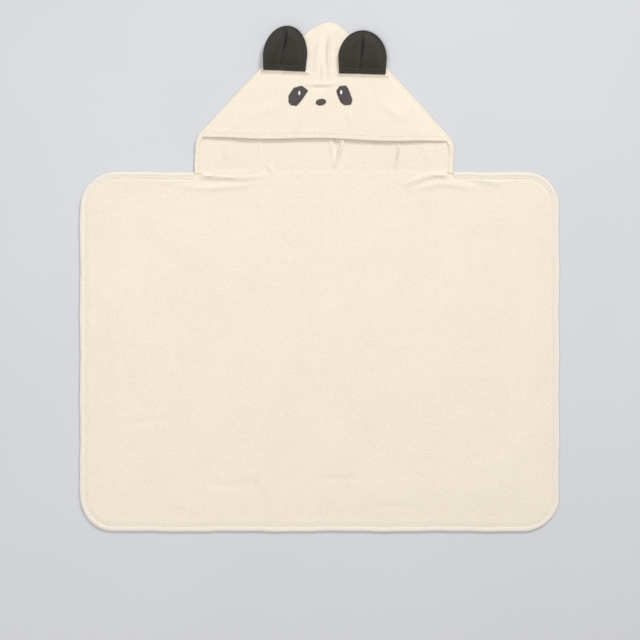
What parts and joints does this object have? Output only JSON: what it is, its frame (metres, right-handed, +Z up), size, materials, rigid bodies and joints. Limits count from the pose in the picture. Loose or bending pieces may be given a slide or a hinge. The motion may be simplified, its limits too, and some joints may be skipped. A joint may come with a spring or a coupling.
{
  "type": "hooded baby towel",
  "caption": "Rectangular terry baby towel with a bound edge, laid flat, and a sewn-on hood with an open pocket for the head, folded ears and an embroidered animal face.",
  "frame": {"origin": "centre of the footprint, on the surface that the towel lies on", "axes": "+X across the width, +Y from the lower edge towards the hood's peak, +Z up from the surface, out of the side that shows the face"},
  "size_m": [1, 1.0648, 0.022],
  "materials": {
    "cream_terry": "cream cotton terry with short loops, matt",
    "cream_tape": "cream woven cotton tape, matt",
    "charcoal_terry": "charcoal cotton terry with short loops, matt",
    "dark_thread": "dark grey satin-stitch embroidery, slight sheen",
    "nose_thread": "dark grey-brown satin-stitch embroidery, slight sheen",
    "white_thread": "white satin-stitch embroidery, slight sheen"
  },
  "bodies": {
    "towel": {"towel_panel": "cream_terry", "edge_binding": "cream_tape", "neck_seam_tape": "cream_tape"},
    "hood": {"hood_back": "cream_terry", "hood_front": "cream_terry", "hood_front_hem": "cream_terry", "hood_edge_seam": "cream_terry", "hood_side_hem_left": "cream_terry", "hood_side_hem_right": "cream_terry", "nose_patch": "nose_thread", "eye_patch_left": "dark_thread", "eye_patch_right": "dark_thread", "eye_highlight_left": "white_thread", "eye_highlight_right": "white_thread"},
    "left_ear": {"left_ear_back": "charcoal_terry", "left_ear_front": "charcoal_terry"},
    "right_ear": {"right_ear_back": "charcoal_terry", "right_ear_front": "charcoal_terry"}
  },
  "joints": [
    {"name": "hood_fold", "type": "hinge", "parent": "towel", "child": "hood", "pos_m": [0.009, 0.21756, 0.0053], "axis": [1, 0, 0], "range_deg": [0, 145]},
    {"name": "left_ear_fold", "type": "hinge", "parent": "hood", "child": "left_ear", "pos_m": [-0.072, 0.42856, 0.0192], "axis": [1, 0, 0], "range_deg": [0, 160]},
    {"name": "right_ear_fold", "type": "hinge", "parent": "hood", "child": "right_ear", "pos_m": [0.089, 0.42456, 0.0192], "axis": [1, 0, 0], "range_deg": [0, 160]}
  ]
}
